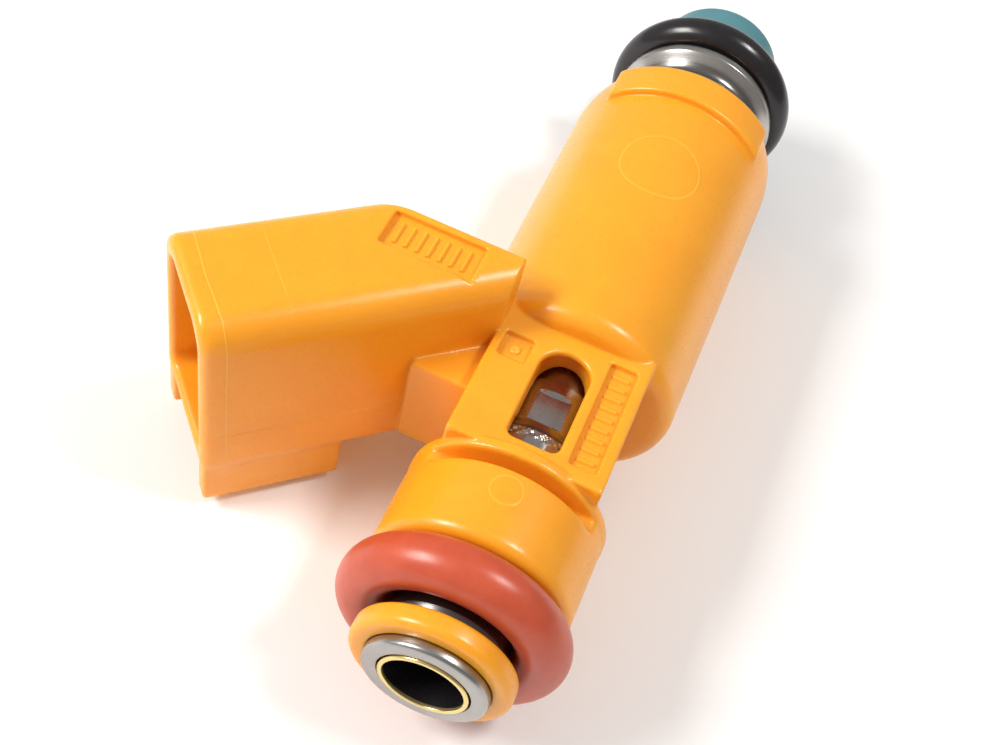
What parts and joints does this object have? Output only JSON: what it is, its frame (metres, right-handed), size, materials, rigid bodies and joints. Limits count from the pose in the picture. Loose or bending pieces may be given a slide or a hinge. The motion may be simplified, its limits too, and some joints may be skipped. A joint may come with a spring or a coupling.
{
  "type": "fuel injector",
  "caption": "Top-feed solenoid fuel injector with a plastic overmoulded body, slanted two-blade connector shell, sealing rings at both ends and a sprung needle valve.",
  "frame": {"origin": "middle of the plan, at the level of the underside of the round body", "axes": "+X along the injector axis from the inlet to the nozzle, +Y to the connector side, +Z out of the window face"},
  "size_m": [0.0634, 0.0328, 0.0178],
  "materials": {
    "yellow_plastic": "satin moulded plastic",
    "turned_steel": "fine turned",
    "polished_steel": "ground and polished",
    "brass": "plain turned",
    "copper_wire": "enamelled copper wire",
    "red_rubber": "smooth moulded rubber",
    "black_rubber": "smooth moulded rubber",
    "teal_plastic": "satin moulded plastic",
    "natural_nylon": "unfilled moulded nylon",
    "black_plastic": "satin moulded plastic"
  },
  "bodies": {
    "injector": {"housing": "yellow_plastic", "inlet_tube": "turned_steel", "filter_sleeve": "brass", "filter_basket": "black_plastic", "retainer_ring": "yellow_plastic", "rail_o_ring": "red_rubber", "fixed_core": "turned_steel", "adjusting_tube": "turned_steel", "return_spring": "polished_steel", "non_magnetic_ring": "turned_steel", "coil_bobbin": "natural_nylon", "coil_winding": "copper_wire", "yoke_case": "turned_steel", "upper_yoke_washer": "turned_steel", "lower_yoke_washer": "turned_steel", "valve_body": "turned_steel", "stroke_spacer": "polished_steel", "valve_seat": "polished_steel", "orifice_plate": "polished_steel", "backup_washer": "natural_nylon", "manifold_o_ring": "black_rubber", "nozzle_cap": "teal_plastic", "terminal_a": "brass", "terminal_b": "brass"},
    "needle_valve": {"armature": "turned_steel", "needle": "polished_steel", "valve_ball": "polished_steel"}
  },
  "joints": [
    {"name": "needle_lift", "type": "slide", "parent": "injector", "child": "needle_valve", "axis": [-1, 0, 0], "range_m": [0, 0.00008], "stiffness_N_per_m": 500, "springref_m": -0.004, "deforming": ["return_spring"]}
  ]
}
